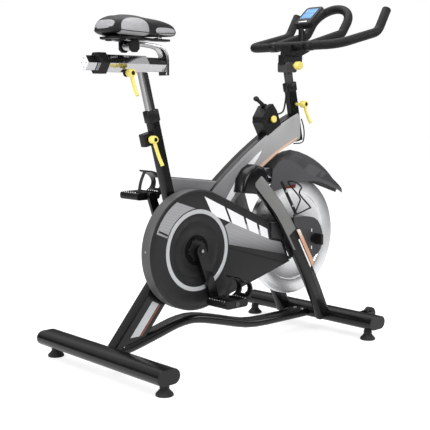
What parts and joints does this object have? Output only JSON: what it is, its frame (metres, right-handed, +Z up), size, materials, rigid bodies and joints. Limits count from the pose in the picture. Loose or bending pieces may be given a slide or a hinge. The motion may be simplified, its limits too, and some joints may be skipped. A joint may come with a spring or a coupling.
{
  "type": "exercise bike",
  "caption": "Indoor cycling exercise bike with an open flywheel, belt drive, adjustable saddle and handlebar, and a small console.",
  "frame": {"origin": "centre of the whole bike's footprint box, on the floor", "axes": "+X forward, towards the handlebar; +Y to the rider's left; +Z up"},
  "size_m": [1.1222, 0.606, 1.1413],
  "materials": {
    "black_paint": "gloss black powder coat",
    "black_plastic": "satin",
    "grey_plastic": "satin",
    "dark_plastic": "fine texture",
    "rubber": "matte",
    "grip": "soft-touch coating",
    "chrome": "polished",
    "steel": "brushed",
    "flywheel_steel": "turned and polished",
    "yellow_plastic": "satin",
    "saddle_skin": "vinyl cover"
  },
  "bodies": {
    "frame": {"rear_stabiliser": "black_paint", "front_stabiliser": "black_paint", "lower_beam": "black_paint", "bottom_bracket_shell": "black_paint", "crank_bearing": "steel", "seat_tube": "black_paint", "head_tube": "black_paint", "main_tube": "black_paint", "rear_strut": "black_paint", "bridge_tube": "black_paint", "fork_crown": "black_paint", "right_fork_leg": "black_paint", "left_fork_leg": "black_paint", "belt_guard": "dark_plastic", "belt_guard_back": "black_plastic", "crank_cover": "black_plastic", "belt_tunnel": "grey_plastic", "axle_cover": "grey_plastic", "flywheel_axle": "steel", "drive_belt": "rubber", "flywheel_fender": "grey_plastic", "bottle_cage": "black_paint", "control_box": "black_plastic", "brake_cable": "black_plastic", "sensor_lead": "black_plastic"},
    "crankset": {"crank_axle": "steel", "drive_pulley": "steel", "right_crank_arm": "black_paint", "left_crank_arm": "black_paint"},
    "right_pedal_set": {"right_pedal": "black_plastic", "right_toe_cage": "black_plastic"},
    "left_pedal_set": {"left_pedal": "black_plastic", "left_toe_cage": "black_plastic"},
    "flywheel_set": {"flywheel": "flywheel_steel", "driven_pulley": "steel"},
    "seat_post_set": {"seat_post": "chrome", "slider_sleeve": "chrome"},
    "seat_slider": {"slider_rail": "chrome", "saddle_arm": "chrome"},
    "saddle_set": {"saddle_base": "black_plastic", "saddle": "saddle_skin"},
    "bar_post_set": {"bar_post": "grey_plastic"},
    "bar_set": {"bar_carriage": "grey_plastic", "handlebar": "grip", "handlebar_loop": "grip", "console": "black_plastic"},
    "seat_height_lever_body": {"seat_height_lever": "yellow_plastic"},
    "seat_slide_lever_body": {"seat_slide_lever": "yellow_plastic"},
    "bar_height_lever_body": {"bar_height_lever": "yellow_plastic"},
    "bar_slide_knob_body": {"bar_slide_knob": "yellow_plastic"},
    "resistance_lever_body": {"resistance_lever": "black_plastic"},
    "stop_button_body": {"stop_button": "yellow_plastic"},
    "brake_arm_body": {"brake_arm": "steel"},
    "hub_knob_body": {"hub_knob": "black_plastic"},
    "right_transport_wheel_body": {"right_transport_wheel": "rubber"},
    "left_transport_wheel_body": {"left_transport_wheel": "rubber"},
    "rear_right_foot_body": {"rear_right_foot": "rubber"},
    "rear_left_foot_body": {"rear_left_foot": "rubber"},
    "front_right_foot_body": {"front_right_foot": "rubber"},
    "front_left_foot_body": {"front_left_foot": "rubber"}
  },
  "joints": [
    {"name": "flywheel_spin", "type": "hinge", "parent": "frame", "child": "flywheel_set", "pos_m": [0.29586, 0, 0.339], "axis": [0, 1, 0], "continuous": true},
    {"name": "crank_spin", "type": "hinge", "parent": "frame", "child": "crankset", "pos_m": [-0.19914, 0, 0.347], "axis": [0, 1, 0], "continuous": true},
    {"name": "right_pedal_spin", "type": "hinge", "parent": "crankset", "child": "right_pedal_set", "pos_m": [-0.14072, -0.146, 0.18735], "axis": [0, 1, 0], "continuous": true},
    {"name": "left_pedal_spin", "type": "hinge", "parent": "crankset", "child": "left_pedal_set", "pos_m": [-0.25756, 0.146, 0.50665], "axis": [0, 1, 0], "continuous": true},
    {"name": "seat_height", "type": "slide", "parent": "frame", "child": "seat_post_set", "axis": [-0.2504, 0, 0.9681], "range_m": [-0.1, 0.08]},
    {"name": "seat_fore_aft", "type": "slide", "parent": "seat_post_set", "child": "seat_slider", "axis": [1, 0, 0], "range_m": [-0.06, 0.03]},
    {"name": "saddle_tilt", "type": "hinge", "parent": "seat_slider", "child": "saddle_set", "pos_m": [-0.40314, 0, 0.962], "axis": [0, 1, 0], "range_deg": [-8, 2]},
    {"name": "bar_height", "type": "slide", "parent": "frame", "child": "bar_post_set", "axis": [-0.2079, 0, 0.9781], "range_m": [-0.03, 0.1]},
    {"name": "bar_fore_aft", "type": "slide", "parent": "bar_post_set", "child": "bar_set", "axis": [1, 0, 0], "range_m": [-0.03, 0.03]},
    {"name": "seat_height_lever_turn", "type": "hinge", "parent": "frame", "child": "seat_height_lever_body", "pos_m": [-0.33885, -0.0149, 0.69], "axis": [0, 1, 0], "range_deg": [0, 90]},
    {"name": "seat_slide_lever_turn", "type": "hinge", "parent": "seat_post_set", "child": "seat_slide_lever_body", "pos_m": [-0.42514, -0.012, 0.884], "axis": [0, 1, 0], "range_deg": [0, 90]},
    {"name": "bar_height_lever_turn", "type": "hinge", "parent": "frame", "child": "bar_height_lever_body", "pos_m": [0.29758, -0.0154, 0.793], "axis": [0, 1, 0], "range_deg": [0, 90]},
    {"name": "bar_slide_knob_turn", "type": "hinge", "parent": "bar_post_set", "child": "bar_slide_knob_body", "pos_m": [0.27722, -0.0214, 0.922], "axis": [0, 1, 0], "range_deg": [0, 180]},
    {"name": "resistance_lever_turn", "type": "hinge", "parent": "frame", "child": "resistance_lever_body", "pos_m": [0.1763, 0, 0.7775], "axis": [0, 1, 0], "range_deg": [0, 40]},
    {"name": "brake_arm_swing", "type": "hinge", "parent": "frame", "child": "brake_arm_body", "pos_m": [0.14486, 0, 0.572], "axis": [0, 1, 0], "range_deg": [0, 6]},
    {"name": "stop_button_press", "type": "slide", "parent": "frame", "child": "stop_button_body", "axis": [0, 1, 0], "range_m": [0, 0.004], "stiffness_N_per_m": 400},
    {"name": "hub_knob_turn", "type": "hinge", "parent": "frame", "child": "hub_knob_body", "pos_m": [0.29586, -0.106, 0.339], "axis": [0, 1, 0], "range_deg": [0, 90]},
    {"name": "right_transport_wheel_spin", "type": "hinge", "parent": "frame", "child": "right_transport_wheel_body", "pos_m": [0.47086, -0.215, 0.067], "axis": [0, 1, 0], "continuous": true},
    {"name": "left_transport_wheel_spin", "type": "hinge", "parent": "frame", "child": "left_transport_wheel_body", "pos_m": [0.47086, 0.215, 0.067], "axis": [0, 1, 0], "continuous": true},
    {"name": "rear_right_foot_screw", "type": "hinge", "parent": "frame", "child": "rear_right_foot_body", "pos_m": [-0.50014, -0.27, 0], "axis": [0, 0, 1], "continuous": true},
    {"name": "rear_left_foot_screw", "type": "hinge", "parent": "frame", "child": "rear_left_foot_body", "pos_m": [-0.50014, 0.27, 0], "axis": [0, 0, 1], "continuous": true},
    {"name": "front_right_foot_screw", "type": "hinge", "parent": "frame", "child": "front_right_foot_body", "pos_m": [0.39386, -0.27, 0], "axis": [0, 0, 1], "continuous": true},
    {"name": "front_left_foot_screw", "type": "hinge", "parent": "frame", "child": "front_left_foot_body", "pos_m": [0.39386, 0.27, 0], "axis": [0, 0, 1], "continuous": true}
  ],
  "couplings": [
    {"joint": "crank_spin", "follows": "flywheel_spin", "ratio": 0.28421},
    {"joint": "brake_arm_swing", "follows": "resistance_lever_turn", "ratio": 0.12}
  ]
}
